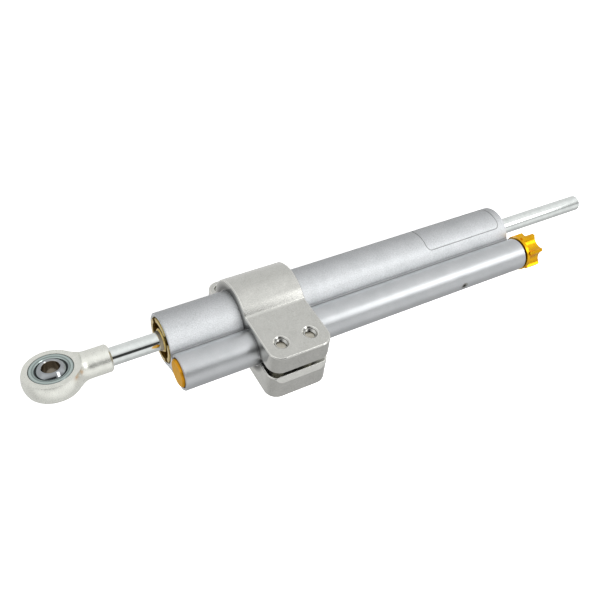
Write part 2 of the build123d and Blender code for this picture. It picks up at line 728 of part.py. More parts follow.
# centre of the fillet that touches the head's circle and the shank's side
neck_y = shank_r + neck_radius
neck_x = sqrt((head_r + neck_radius) ** 2 - neck_y ** 2)
neck_touch = head_r / (head_r + neck_radius)
neck_corner = (neck_x * neck_touch, neck_y * neck_touch)
sweep_start = degrees(asin(neck_y / (head_r + neck_radius))) + 180
with BuildPart() as rod_end_housing:
    # head: crowned rim about the eye's axis
    with BuildSketch(eye_section):
        with BuildLine():
            Line((0, -head_width / 2), (face_r, -head_width / 2))
            ThreePointArc((face_r, -head_width / 2), (head_r, 0), (face_r, head_width / 2))
            Polyline((face_r, head_width / 2), (0, head_width / 2), (0, -head_width / 2))
        make_face()
    revolve(axis=eye_axis)
    # shank and its flare, turned about the rod's axis
    with BuildSketch(Plane.XY):
        with BuildLine():
            Polyline((neck_x, shank_r), (shank_end - shank_chamfer, shank_r),
                     (shank_end, shank_r - shank_chamfer), (shank_end, 0), (0, 0),
                     (0, neck_corner[1]), neck_corner)
            CenterArc((neck_x, neck_y), neck_radius, sweep_start, 270 - sweep_start)
        make_face()
    revolve(axis=rod_axis)
    # the two faces of the head, milled back to a round run-out at the shank
    for turn in (1, -1):
        with BuildSketch(eye_section.offset(-head_r)):
            with BuildLine():
                Line((-head_r, turn * head_width / 2),
                     (flat_reach - flat_runout, turn * head_width / 2))
                TangentArc((flat_reach - flat_runout, turn * head_width / 2),
                           (flat_reach, turn * (head_width / 2 + flat_runout)), tangent=(1, 0))
                Polyline((flat_reach, turn * (head_width / 2 + flat_runout)),
                         (flat_reach, turn * head_r), (-head_r, turn * head_r),
                         (-head_r, turn * head_width / 2))
            make_face()
        extrude(amount=head_d, mode=Mode.SUBTRACT)
    # seat for the race
    with BuildSketch(eye_plane.offset(-head_width / 2)):
        Circle(race_d / 2)
    extrude(amount=head_width, mode=Mode.SUBTRACT)
    # blind threaded hole for the rod
    with BuildSketch(Plane.YZ.offset(thread_tip)):
        Circle(rod_thread_d / 2)
    extrude(amount=shank_end - thread_tip, mode=Mode.SUBTRACT)
rod_end_housing.part.label = "rod_end_housing"
export_step(rod_end_housing.part, "parts/rod_end_housing.step")


# Zone of a ball between two flats, or of the hollow that holds it, about the eye's axis
def ball_zone(radius, half_width, inner_r):
    with BuildSketch(eye_section) as zone:
        with BuildLine():
            edge = sqrt(radius ** 2 - half_width ** 2)
            ThreePointArc((edge, -half_width), (radius, 0), (edge, half_width))
            Polyline((edge, half_width), (inner_r, half_width), (inner_r, -half_width),
                     (edge, -half_width))
        make_face()
    return zone.sketch


ball_r = ball_d / 2
liner_inner_r = ball_r + running_fit
liner_outer_r = liner_inner_r + liner_wall
race_inner_r = liner_outer_r + running_fit

# the race stands flush with the head, with a chamfer that leaves a dark ring round its rim
half_race = head_width / 2
race_r = race_d / 2
rim_corner = race_r - race_rim_chamfer
rim_start = half_race - race_rim_chamfer
mouth_r = sqrt(race_inner_r ** 2 - half_race ** 2) + race_mouth_chamfer
with BuildPart() as rod_end_race:
    revolve(half_section(eye_section, (0, -half_race), (rim_corner, -half_race),
                         (race_r, -rim_start), (race_r, rim_start), (rim_corner, half_race),
                         (0, half_race)), axis=eye_axis)
    revolve(ball_zone(race_inner_r, half_race, 0), axis=eye_axis, mode=Mode.SUBTRACT)
    # conical mouths round the ball
    for face in (half_race, -half_race):
        mouth_floor = face * (1 - race_mouth_chamfer / half_race)
        revolve(half_section(eye_section, (0, face), (mouth_r, face),
                             (mouth_r - race_mouth_chamfer, mouth_floor), (0, mouth_floor)),
                axis=eye_axis, mode=Mode.SUBTRACT)
rod_end_race.part.label = "rod_end_race"
export_step(rod_end_race.part, "parts/rod_end_race.step")

with BuildPart() as rod_end_liner:
    revolve(ball_zone(liner_outer_r, liner_width / 2, 0), axis=eye_axis)
    revolve(ball_zone(liner_inner_r, liner_width / 2, 0), axis=eye_axis, mode=Mode.SUBTRACT)
rod_end_liner.part.label = "rod_end_liner"
export_step(rod_end_liner.part, "parts/rod_end_liner.step")

with BuildPart() as rod_end_ball:
    revolve(ball_zone(ball_r, ball_width / 2, eye_bore_d / 2), axis=eye_axis)
    rims = rod_end_ball.edges().filter_by(GeomType.CIRCLE)
    chamfer(rims.filter_by(lambda rim: rim.radius < eye_bore_d / 2 + running_fit), ball_chamfer)
rod_end_ball.part.label = "rod_end_ball"
export_step(rod_end_ball.part, "parts/rod_end_ball.step")

# Clamp: a band round both tubes, an upper flange and a lower jaw with a slit between, and an ear
clamp_r = clamp_d / 2
base_z = -base_depth
ear_top = base_z + ear_height
slit_half = slit_height / 2
flange_crest = -sqrt(clamp_r ** 2 - flange_top ** 2)
ear_crest = sqrt(clamp_r ** 2 - ear_top ** 2)
ear_places = [(clamp_mid + turn * ear_hole_spacing / 2, ear_hole_y) for turn in (-1, 1)]
screw_y = clamp_screw_edge - flange_reach
screw_places = [(clamp_mid + turn * clamp_screw_spacing / 2, screw_y) for turn in (-1, 1)]
head_top = base_z + screw_head_length + screw_head_clearance
with BuildPart() as clamp:
    with BuildSketch(Plane.YZ.offset(clamp_x)) as band:
        Circle(clamp_r)
        with BuildLine():
            Polyline((-flange_reach, base_z), (ear_reach, base_z), (ear_reach, ear_top),
                     (0, ear_top), (0, flange_top), (-flange_reach, flange_top), close=True)
        make_face()
        # flat base right across
        with Locations((0, base_z - clamp_r)):
            Rectangle(2 * flange_reach, 2 * clamp_r, mode=Mode.SUBTRACT)
        # the outer arc runs into the flange and into the ear through small fillets
        corners = band.vertices()
        fillet((corners.sort_by_distance((flange_crest, flange_top))[0],
                corners.sort_by_distance((ear_crest, ear_top))[0]), flange_fillet)
    extrude(amount=clamp_width)
    # slit from the near side into the valve tube's bore
    with BuildSketch(Plane.YZ.offset(clamp_x)):
        with Locations((-flange_reach, 0)):
            Rectangle(2 * (flange_reach - tube_pitch), slit_height)
    extrude(amount=clamp_width, mode=Mode.SUBTRACT)
    # upright corners, round on the flange, the lower jaw and the ear
    uprights = clamp.edges().filter_by(Axis.Z)
    near_uprights = uprights.filter_by_position(Axis.Y, -flange_reach - cut_margin,
                                                -flange_reach + cut_margin)
    fillet(near_uprights, flange_corner)
    fillet(uprights.filter_by_position(Axis.Y, ear_reach - cut_margin, ear_reach + cut_margin),
           ear_corner)
    # broken edges round both end faces, on round the corners and along the near face
    ends = clamp.faces().filter_by(Axis.X).sort_by(Axis.X)
    outer_edges = (ends[0].edges() + ends[-1].edges()).filter_by(Axis.Z, reverse=True)
    chamfer(outer_edges, edge_break)
    # bevel along the lower jaw's upper near edge
    with BuildSketch(Plane.YZ.offset(clamp_x)):
        with BuildLine():
            Polyline((-flange_reach, -slit_half), (-flange_reach + jaw_bevel_depth, -slit_half),
                     (-flange_reach, -slit_half - jaw_bevel_height), close=True)
        make_face()
    extrude(amount=clamp_width, mode=Mode.SUBTRACT)
    extrude(twin_outline(Plane.YZ.offset(clamp_x), clamp_gap), amount=clamp_width,
            mode=Mode.SUBTRACT)
    # flange: threaded holes with countersunk rims
    with BuildSketch(Plane.XY):
        with Locations(*screw_places):
            Circle(clamp_screw_d / 2)
    extrude(amount=flange_top, mode=Mode.SUBTRACT)
    # lower jaw: clearance holes, counterbored from below for the screw heads
    with BuildSketch(Plane.XY):
        with Locations(*screw_places):
            Circle(clamp_screw_hole_d / 2)
    extrude(amount=base_z, mode=Mode.SUBTRACT)
    with BuildSketch(Plane.XY.offset(base_z)):
        with Locations(*screw_places):
            Circle(screw_head_d / 2 + screw_head_clearance / 2)
    extrude(amount=screw_head_length + screw_head_clearance, mode=Mode.SUBTRACT)
    # holes through the ear
    with BuildSketch(Plane.XY.offset(base_z)):
        with Locations(*ear_places):
            Circle(ear_hole_d / 2)
    extrude(amount=ear_height, mode=Mode.SUBTRACT)
    rims = clamp.faces().filter_by(Axis.Z).sort_by(Axis.Z)[-1].inner_wires().edges()
    chamfer(rims, (rim_countersink_d - clamp_screw_d) / 2)
clamp.part.label = "clamp"
export_step(clamp.part, "parts/clamp.step")

# Clamp screws, from below: socket heads in the jaw, threads in the flange
with BuildPart() as clamp_screws:
    with BuildSketch(Plane.XY.offset(head_top)):
        with Locations(*screw_places):
            Circle(screw_head_d / 2)
    extrude(amount=-screw_head_length)
    with BuildSketch(Plane.XY.offset(head_top)):
        with Locations(*screw_places):
            Circle(clamp_screw_d / 2)
    extrude(amount=flange_top - screw_end_depth - head_top)
    chamfer(clamp_screws.faces().sort_by(Axis.Z)[-2:].edges(), screw_end_chamfer)
    with BuildSketch(Plane.XY.offset(head_top - screw_head_length)):
        with Locations(*screw_places):
            RegularPolygon(screw_socket / 2, 6, major_radius=False)
    extrude(amount=screw_socket_depth, mode=Mode.SUBTRACT)
clamp_screws.part.label = "clamp_screws"
export_step(clamp_screws.part, "parts/clamp_screws.step")
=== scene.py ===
import json
import math

import bpy
import numpy as np
from mathutils import Matrix, Vector


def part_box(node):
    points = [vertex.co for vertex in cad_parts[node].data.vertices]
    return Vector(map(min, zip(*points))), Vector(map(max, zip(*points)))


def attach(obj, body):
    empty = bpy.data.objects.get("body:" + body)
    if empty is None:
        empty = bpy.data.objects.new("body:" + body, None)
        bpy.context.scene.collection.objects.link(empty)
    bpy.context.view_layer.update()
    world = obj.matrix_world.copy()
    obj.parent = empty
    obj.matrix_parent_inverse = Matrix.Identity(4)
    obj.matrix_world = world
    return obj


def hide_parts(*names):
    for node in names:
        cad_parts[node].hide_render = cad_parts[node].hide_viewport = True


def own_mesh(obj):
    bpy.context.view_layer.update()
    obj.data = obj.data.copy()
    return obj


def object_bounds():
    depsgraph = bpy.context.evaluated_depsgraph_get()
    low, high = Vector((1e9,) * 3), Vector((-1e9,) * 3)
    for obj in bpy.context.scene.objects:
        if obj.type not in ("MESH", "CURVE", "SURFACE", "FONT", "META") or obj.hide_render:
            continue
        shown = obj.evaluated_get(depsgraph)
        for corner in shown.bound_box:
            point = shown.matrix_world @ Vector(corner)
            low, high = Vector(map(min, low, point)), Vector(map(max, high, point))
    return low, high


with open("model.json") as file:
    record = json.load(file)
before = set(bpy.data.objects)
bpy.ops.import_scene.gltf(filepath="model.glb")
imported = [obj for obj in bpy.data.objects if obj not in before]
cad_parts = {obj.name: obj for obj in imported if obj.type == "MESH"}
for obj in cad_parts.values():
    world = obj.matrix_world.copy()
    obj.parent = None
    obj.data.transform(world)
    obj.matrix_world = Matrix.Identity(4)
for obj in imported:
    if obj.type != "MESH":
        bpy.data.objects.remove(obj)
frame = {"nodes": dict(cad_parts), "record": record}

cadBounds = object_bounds()
nodes = frame["nodes"]
print("frame loaded:", len(nodes), "nodes")

mm = 0.001
wideTube = (0.0, 0.0, 0.0)  # a point on the axis of each tube, in mm; both axes run along X
valveTube = (0.0, -21.6, 0.0)
flangeHoles = {"near": (96.75, -34.1), "far": (112.05, -34.1)}  # their middles from above, in mm
acrossX, acrossZ = (0, 1, 1), (1, 1, 0)  # what is left of a place once its part along X or Z is dropped
noiseSpan = (0.3, 0.7)  # nearly all of a noise's values lie in here, and of two added in twoNoises
twoNoises = (0.7, 1.3)
speckSpan = (0.35, 0.65)  # a little tighter, so that specks stand out


# Nodes, colours and meshes

def linearColour(hexText):
    # sRGB hex to the linear values a shader takes
    parts = [int(hexText[i:i + 2], 16) / 255 for i in (1, 3, 5)]
    return tuple(p / 12.92 if p <= 0.04045 else ((p + 0.055) / 1.055) ** 2.4 for p in parts) + (1.0,)


def fill(tree, node, inputs):
    # inputs by name, or in the node's own order: a node is linked by its first output, a socket is
    # linked as it is, and anything else is a value
    pairs = inputs.items() if isinstance(inputs, dict) else enumerate(inputs)
    for name, value in pairs:
        if isinstance(value, bpy.types.Node):
            value = value.outputs[0]
        if isinstance(value, bpy.types.NodeSocket):
            tree.links.new(value, node.inputs[name])
        else:
            node.inputs[name].default_value = value


def addNode(tree, kind, inputs=(), stops=(), **settings):
    # stops are the places and colours of a colour ramp, which starts with two of its own
    node = tree.nodes.new("ShaderNode" + kind)
    for name, value in settings.items():
        setattr(node, name, value)
    fill(tree, node, inputs)
    if stops:
        elements = node.color_ramp.elements
        while len(elements) < len(stops):
            elements.new(0.5)
        for element, (place, colour) in zip(elements, stops):
            element.position = place
            element.color = colour
    return node


def newMaterial(name):
    # one Principled shader, and the Object coordinates for its patterns
    material = bpy.data.materials.new(name)
    material.use_nodes = True
    tree = material.node_tree
    tree.nodes.clear()
    shader = addNode(tree, "BsdfPrincipled")
    addNode(tree, "OutputMaterial", [shader])
    return material, tree, shader, addNode(tree, "TexCoord").outputs["Object"]


def pattern(tree, coords, sizeMm, detail=2.0, roughness=0.5, stretch=(1, 1, 1)):
    # noise whose features are about sizeMm across, drawn out where stretch is under 1
    drawn = addNode(tree, "Mapping", {"Vector": coords, "Scale": stretch})
    return addNode(tree, "TexNoise", {"Vector": drawn, "Scale": 1 / (sizeMm * mm), "Detail": detail,
                                      "Roughness": roughness})


def mottled(tree, coords, look):
    # the look's fine grain, and a colour between its two that wanders with grain and clouds together
    grain = pattern(tree, coords, **look["grain"])
    both = addNode(tree, "Math", [grain, pattern(tree, coords, look["cloudMm"])], operation="ADD")
    return grain, shaded(tree, both, twoNoises, look)


def shaded(tree, factor, span, look):
    # from the look's shade to its colour as the factor goes through the span
    share = addNode(tree, "MapRange", [factor, *span])
    return addNode(tree, "ValToRGB", [share], stops=[(0.0, linearColour(look["shade"])),
                                                     (1.0, linearColour(look["colour"]))])


def fromLine(tree, coords, point, across):
    # distance in metres from the line through point, given in mm, along the axis that across drops
    off = addNode(tree, "VectorMath", [coords, tuple(v * mm for v in point)], operation="SUBTRACT")
    flat = addNode(tree, "VectorMath", [off, across], operation="MULTIPLY")
    return addNode(tree, "VectorMath", [flat], operation="LENGTH").outputs["Value"]


def darkNear(tree, coords, point, across, reach, dark):
    # dark within the first reach of the line, 1 beyond the second
    away, (near, far) = fromLine(tree, coords, point, across), reach
    return addNode(tree, "MapRange", [away, near * mm, far * mm, dark, 1.0])


def product(tree, factors):
    total = factors[0]
    for factor in factors[1:]:
        total = addNode(tree, "Math", [total, factor], operation="MULTIPLY")
    return total


def addPiece(name, points, faces, material):
    # points in metres; each face lists its corners anticlockwise as seen from outside
    mesh = bpy.data.meshes.new(name)
    mesh.from_pydata(points, [], faces)
    mesh.materials.append(material)
    piece = bpy.data.objects.new(name, mesh)
    bpy.context.scene.collection.objects.link(piece)
    return piece


def ringFaces(rings, around, closed):
    # quads between rings of points, the last ring joined to the first where closed
    starts = np.arange(rings if closed else rings - 1)
    ring, spot = np.meshgrid(starts, np.arange(around), indexing="ij")
    nextRing, nextSpot = (ring + 1) % rings, (spot + 1) % around
    corners = [(ring, spot), (ring, nextSpot), (nextRing, nextSpot), (nextRing, spot)]
    return np.stack([a * around + b for a, b in corners], axis=-1).reshape(-1, 4).tolist()


# Satin silver: extruded 6063 aluminium, glass bead blasted and clear anodised. The beads leave dimples
# about 0.15 mm across, drawn at 0.5 mm here so that they show, and the anodising a cool even grey.
# The wide tube, on the +Y side of the groove, is blasted coarser, so it scatters more of the light.
# The groove between the tubes is darkened with painted shade, and the floor of the engraved border is
# drawn darker.
blasted = dict(
    colour="#D1D3D5", shade="#C5C8CA", roughness=(0.34, 0.42), cloudMm=9.0,
    grain=dict(sizeMm=0.5, detail=3.0, roughness=0.65),
    dimples=dict(depthMm=0.02, valve=0.25, wide=0.45),
    wide=dict(fromY=-12.6, fadeMm=1.0, metallic=0.5, coarser=0.08),
    specks=dict(grain=dict(sizeMm=0.45, roughness=0.6), levels=(-0.14, 0.12)),
    # groove: painted shade along the groove between the tubes
    groove=dict(at=(0.0, -13.2, 2.8), reach=(0.8, 3.0), dark=0.36),
    border=dict(ends=(198.0, 251.0), above=4.0, fadeMm=1.0, skin=13.42, wallMm=0.05, dark=0.45))


def blastedAluminium():
    material, tree, shader, coords = newMaterial("blasted_clear_anodised_aluminium")
    x, y, z = addNode(tree, "SeparateXYZ", [coords]).outputs
    wide, groove, border, dimples = (blasted[k] for k in ("wide", "groove", "border", "dimples"))
    grain, colour = mottled(tree, coords, blasted)
    # onWide: 0 on the valve tube, 1 on the wide one
    onWide = addNode(tree, "MapRange", [y, (wide["fromY"] - wide["fadeMm"]) * mm, wide["fromY"] * mm])
    # sunk: 1 on the border's floor, which is nearer the tube's axis than its skin, above it, and
    # between the border's ends
    out = fromLine(tree, coords, wideTube, acrossX)
    (start, end), above, skin, fade = (border[k] for k in ("ends", "above", "skin", "fadeMm"))
    sunk = product(tree, [
        addNode(tree, "MapRange", [out, (skin - border["wallMm"]) * mm, skin * mm, 1.0, 0.0]),
        addNode(tree, "MapRange", [z, above * mm, (above + fade) * mm]),
        addNode(tree, "MapRange", [x, (start - fade) * mm, start * mm]),
        addNode(tree, "MapRange", [x, end * mm, (end + fade) * mm, 1.0, 0.0])])
    # specks: 1 plus a little light and dark, only on the wide tube
    fine = pattern(tree, coords, **blasted["specks"]["grain"])
    levels = addNode(tree, "MapRange", [fine, *speckSpan, *blasted["specks"]["levels"]])
    specks = addNode(tree, "Math", [onWide, levels, 1.0], operation="MULTIPLY_ADD")
    # gain: the specks, the border's floor drawn darker, and painted shade along the groove between the
    # tubes
    gain = product(tree, [specks, addNode(tree, "MapRange", [sunk, 0.0, 1.0, 1.0, border["dark"]]),
                          darkNear(tree, coords, groove["at"], acrossX, groove["reach"], groove["dark"])])
    smooth = addNode(tree, "MapRange", [grain, *noiseSpan, *blasted["roughness"]])
    strength = addNode(tree, "MapRange", [onWide, 0.0, 1.0, dimples["valve"], dimples["wide"]])
    fill(tree, shader, {
        "Base Color": addNode(tree, "VectorMath", [colour, gain], operation="MULTIPLY"),
        "Roughness": addNode(tree, "Math", [onWide, wide["coarser"], smooth], operation="MULTIPLY_ADD"),
        "Metallic": addNode(tree, "MapRange", [onWide, 0.0, 1.0, 1.0, wide["metallic"]]),
        "Normal": addNode(tree, "Bump", {"Height": grain, "Strength": strength,
                                         "Distance": dimples["depthMm"] * mm})})
    return material


# Clamp: milled from 6082 aluminium bar and tumbled, so the faces are an even warm grey with faint
# short scratches, and the edges are rounded, their colour lightened as a painted highlight. Painted
# shade darkens the faces round the bores and in and round the threaded holes. An edge shows where the
# rounded normal turns away from the flat one: the cosines say where the painted highlight starts and
# where it is full.
milled = dict(
    colour="#D9D9D4", shade="#CFCFCA", roughness=(0.17, 0.23), cloudMm=6.0,
    grain=dict(sizeMm=0.35, detail=3.0, roughness=0.6, stretch=(0.35, 1, 1)),
    scratches=dict(depthMm=0.015, strength=0.15),
    specks=dict(grain=dict(sizeMm=0.45, roughness=0.6), levels=(0.92, 1.06)),
    # edges: the colour is a painted highlight along the rounded edges
    edges=dict(colour="#FAFAF5", roundMm=0.6, samples=8, cosines=(0.998, 0.94)),
    # bores and holes: painted shade round the bores and in the threaded holes
    bores=dict(reach={wideTube: (15.2, 18.8), valveTube: (10.2, 12.8)}, dark=0.18),
    holes=dict(reach=(3.1, 3.4), dark=0.25))


def milledAluminium():
    material, tree, shader, coords = newMaterial("tumbled_milled_aluminium")
    specks, edges, bores, holes = (milled[k] for k in ("specks", "edges", "bores", "holes"))
    grain, colour = mottled(tree, coords, milled)
    rounded = addNode(tree, "Bevel", [edges["roundMm"] * mm], samples=edges["samples"])
    flat = addNode(tree, "NewGeometry").outputs["Normal"]
    cosine = addNode(tree, "VectorMath", [rounded, flat], operation="DOT_PRODUCT").outputs["Value"]
    # edgeHighlight: how far the edge colour is lightened, a painted highlight
    edgeHighlight = addNode(tree, "MapRange", [cosine, *edges["cosines"]])
    fine = pattern(tree, coords, **specks["grain"])
    # specksAndShade: the specks, and painted shade round the bores and the threaded holes
    specksAndShade = product(tree, [addNode(tree, "MapRange", [fine, *speckSpan, *specks["levels"]])]
                    + [darkNear(tree, coords, axis, acrossX, reach, bores["dark"])
                       for axis, reach in bores["reach"].items()]
                    + [darkNear(tree, coords, (*middle, 0), acrossZ, holes["reach"], holes["dark"])
                       for middle in flangeHoles.values()])
    dull = addNode(tree, "VectorMath", [colour, specksAndShade], operation="MULTIPLY")
    fill(tree, shader, {
        "Base Color": addNode(tree, "MixRGB", [edgeHighlight, dull, linearColour(edges["colour"])]),
        "Roughness": addNode(tree, "MapRange", [grain, *noiseSpan, *milled["roughness"]]),
        "Metallic": 1.0,
        "Normal": addNode(tree, "Bump", {"Height": grain, "Normal": rounded,
                                         "Strength": milled["scratches"]["strength"],
                                         "Distance": milled["scratches"]["depthMm"] * mm})})
    return material


# The small metal and rubber pieces: a base colour with faint clouds, and fine lines that vary the
# roughness. A piece with a lay was turned or ground, so its lines run round it and can be felt. The rim
# colour is what a dyed metal mirrors at a grazing look. A recess, where the piece reaches further than
# depthMm into the body from its end, is darkened with painted shade.
plain = dict(cloudMm=3.0, lines=dict(sizeMm=0.2, detail=1.0), layDepthMm=0.01,
             layStretch=(1, 0.02, 0.02))
looks = {
    # turned and dyed a deep yellow gold: the knob and the valve housing
    "gold_anodised": dict(name="gold_anodised_aluminium", colour="#F8C01C", shade="#EDAB14",
                          roughness=(0.22, 0.30), lay=0.1),
    # dipped longer than the knob, an orange gold: the plug
    "orange_gold": dict(name="orange_gold_anodised_aluminium", colour="#F4AC2C", shade="#E09A24",
                        roughness=(0.28, 0.36), lay=0.1, rim="#FFFBC8"),
    # dipped only briefly, a pale gold: the seal heads
    "pale_gold": dict(name="pale_gold_anodised_aluminium", colour="#E6CD86", shade="#D9BC6C",
                      # recess: painted shade inside the seal heads' recess
                      roughness=(0.24, 0.32), lay=0.1, recess=dict(depthMm=0.8, fadeMm=0.3, dark=0.48)),
    # ground and polished, almost a mirror with a cold tint: the rod
    "hard_chrome": dict(name="ground_hard_chrome", colour="#F0F4F2", shade="#E4E9E7",
                        roughness=(0.05, 0.10), lay=0.05),
    # plated, with a film that scatters a little: the rod end
    "zinc_steel": dict(name="zinc_plated_steel_with_clear_chromate_film", colour="#F4F5ED",
                       shade="#EAEBE3", metallic=0.92, roughness=(0.26, 0.34)),
    # the plating worn and oiled by the thread: the clamp screws
    "screw_steel": dict(name="worn_zinc_screw_end", colour="#D6D2C6", shade="#BDB9AC",
                        roughness=(0.3, 0.42)),
    # ground, grey with a breath of green: the detent ball
    "bearing_steel": dict(name="ground_bearing_steel", colour="#B9C4C2", shade="#A9B5B3",
                          roughness=(0.18, 0.26)),
    # drawn bar, bright and even: the port screws and the needle
    "plain_steel": dict(name="bright_steel", colour="#B5B5B2", shade="#A5A5A2", roughness=(0.25, 0.35)),
    # oil hardened, dark grey: the springs, the snap ring and the circlips
    "spring_steel": dict(name="spring_steel", colour="#77797C", shade="#6A6C70", roughness=(0.3, 0.4)),
    # pressed from powder and soaked in oil, brown and dull: the bushes
    "bronze": dict(name="sintered_bronze", colour="#A87B48", shade="#98693A", roughness=(0.4, 0.5)),
    # moulded, black and dull: the O-rings and the rod seals
    "nitrile": dict(name="nitrile_rubber", colour="#1B1B1B", shade="#141414", metallic=0.0,
                    roughness=(0.5, 0.65)),
    # machined, black with a faint sheen: the piston ring and the liner
    "ptfe": dict(name="filled_ptfe", colour="#262A2B", shade="#1D2021", metallic=0.0,
                 roughness=(0.45, 0.55)),
    # a worn grey-brown compound: the wipers
    "worn_wiper": dict(name="polyurethane_wiper", colour="#8A8374", shade="#777062", metallic=0.0,
                       roughness=(0.35, 0.45)),
    # cut by the tap, brighter than the faces round it: the flange's threads
    "tapped": dict(name="tapped_aluminium", colour="#D8D8D4", shade="#BEBEBA", roughness=(0.14, 0.22)),
}


def plainFinish(look):
    material, tree, shader, coords = newMaterial(look["name"])
    tint = shaded(tree, pattern(tree, coords, plain["cloudMm"]), noiseSpan, look)
    recess = look.get("recess")
    if recess:
        # far is the distance along X from the body's middle, and start is where the recess begins
        low, high = (corner[0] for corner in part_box("twin_tube_body"))
        start = (high - low) / 2 - recess["depthMm"] * mm
        along = addNode(tree, "SeparateXYZ", [coords]).outputs["X"]
        off = addNode(tree, "Math", [along, (low + high) / 2], operation="SUBTRACT")
        far = addNode(tree, "Math", [off], operation="ABSOLUTE")
        # recessShade: painted shade, dark in the recess and none beyond its start
        recessShade = addNode(tree, "MapRange", [far, start - recess["fadeMm"] * mm, start, recess["dark"], 1.0])
        tint = addNode(tree, "VectorMath", [tint, recessShade], operation="MULTIPLY")
    lay = look.get("lay", 0.0)
    lines = pattern(tree, coords, **plain["lines"], stretch=plain["layStretch"] if lay else (1, 1, 1))
    fill(tree, shader, {"Base Color": tint, "Metallic": look.get("metallic", 1.0),
                        "Roughness": addNode(tree, "MapRange", [lines, *noiseSpan, *look["roughness"]])})
    if lay:
        felt = addNode(tree, "Bump", {"Height": lines, "Strength": lay,
                                      "Distance": plain["layDepthMm"] * mm})
        fill(tree, shader, {"Normal": felt})
    if "rim" in look:
        fill(tree, shader, {"Specular Tint": linearColour(look["rim"])})
    return material


# The rod end's bore leans about the rod from straight up
eyeLean = math.radians(9.5)


def fromEyeAxis(tree, coords):
    # distance in metres from the bore's axis: length of the cross product with its direction
    axis = (0.0, math.sin(eyeLean), math.cos(eyeLean))
    across = addNode(tree, "VectorMath", [coords, axis], operation="CROSS_PRODUCT")
    return addNode(tree, "VectorMath", [across], operation="LENGTH").outputs["Value"]


# Ball: lapped chrome outside, in its shade colour, and its bore left as reamed, drawn darker, browner and
# rougher
ball = dict(colour="#8F877A", shade="#A8ACAF", boreMm=4.05, fadeMm=0.1, cloudMm=1.2, smooth=0.05,
            rougher=(0.05, 0.10))


def lappedBall():
    material, tree, shader, coords = newMaterial("lapped_chromed_ball_with_reamed_bore")
    inBore = addNode(tree, "MapRange", [fromEyeAxis(tree, coords), ball["boreMm"] * mm,
                                        (ball["boreMm"] + ball["fadeMm"]) * mm, 1.0, 0.0])
    cloud = pattern(tree, coords, ball["cloudMm"])
    rougher = addNode(tree, "MapRange", [cloud, *noiseSpan, *ball["rougher"]])
    fill(tree, shader, {"Base Color": shaded(tree, inBore, (0.0, 1.0), ball), "Metallic": 1.0,
                        "Roughness": addNode(tree, "Math", [inBore, rougher, ball["smooth"]],
                                             operation="MULTIPLY_ADD")})
    return material


# Race: turned bearing steel. Its face shows the tool's steps as rings, and the outer rings at the seat in
# the housing are dark with painted shade. Each ring is a distance from the axis in mm and a grey green
# shade.
race = dict(span=(6.5, 10.5), cloudMm=1.5, roughness=(0.16, 0.24),
            rings=[(6.6, "#7E8A88"), (7.3, "#AEBBB8"), (7.7, "#B7C4C1"), (8.1, "#8D9997"),
                   (8.5, "#97A4A1"), (8.8, "#C3D0CD"), (9.4, "#B5C2BF"), (9.7, "#A3B0AD"),
                   # the last two rings are painted shade at the seat in the housing
                   (9.9, "#4E5654"), (10.2, "#4E5654")])


def ringedRace():
    material, tree, shader, coords = newMaterial("turned_bearing_steel_race")
    low, high = race["span"]
    reach = addNode(tree, "MapRange", [fromEyeAxis(tree, coords), low * mm, high * mm])
    rings = addNode(tree, "ValToRGB", [reach], stops=[((at - low) / (high - low), linearColour(shade))
                                                      for at, shade in race["rings"]])
    cloud = pattern(tree, coords, race["cloudMm"])
    fill(tree, shader, {"Base Color": rings, "Metallic": 1.0,
                        "Roughness": addNode(tree, "MapRange", [cloud, *noiseSpan, *race["roughness"]])})
    return material


# Each piece wears the finish of its material, apart from those with one of their own
finishes = {name: plainFinish(look) for name, look in looks.items()}
finishes["satin_aluminium"] = blastedAluminium()
finishes["machined_aluminium"] = milledAluminium()
finishes["lapped_ball"] = lappedBall()
finishes["ringed_race"] = ringedRace()
ownFinish = {"valve_tube_plug": "orange_gold", "rod_end_ball": "lapped_ball",
             "rod_end_race": "ringed_race", "clamp_screws": "screw_steel",
             "seal_head_near": "pale_gold", "seal_head_far": "pale_gold",
             "wiper_near": "worn_wiper", "wiper_far": "worn_wiper"}
for part in frame["record"]["subparts"]:
    mesh = nodes[part["node"]].data
    mesh.materials.clear()
    mesh.materials.append(finishes[ownFinish.get(part["node"], part["material_slot"])])
print("finishes on", len(nodes), "nodes")


# Springs: round wire coiled about an axis along X. They shorten towards the end that stays on the body
# as their joint moves. They are wound here again as plain coils of wire. Wire and travel are
# in mm, steps are the rings of points along the wire.
springs = {"compensator_spring": dict(wire=1.1, turns=6, joint="compensator_slide", travel=12.0, steps=240),
           "detent_spring": dict(wire=0.3, turns=6, joint="detent_hop", travel=0.4, steps=160)}


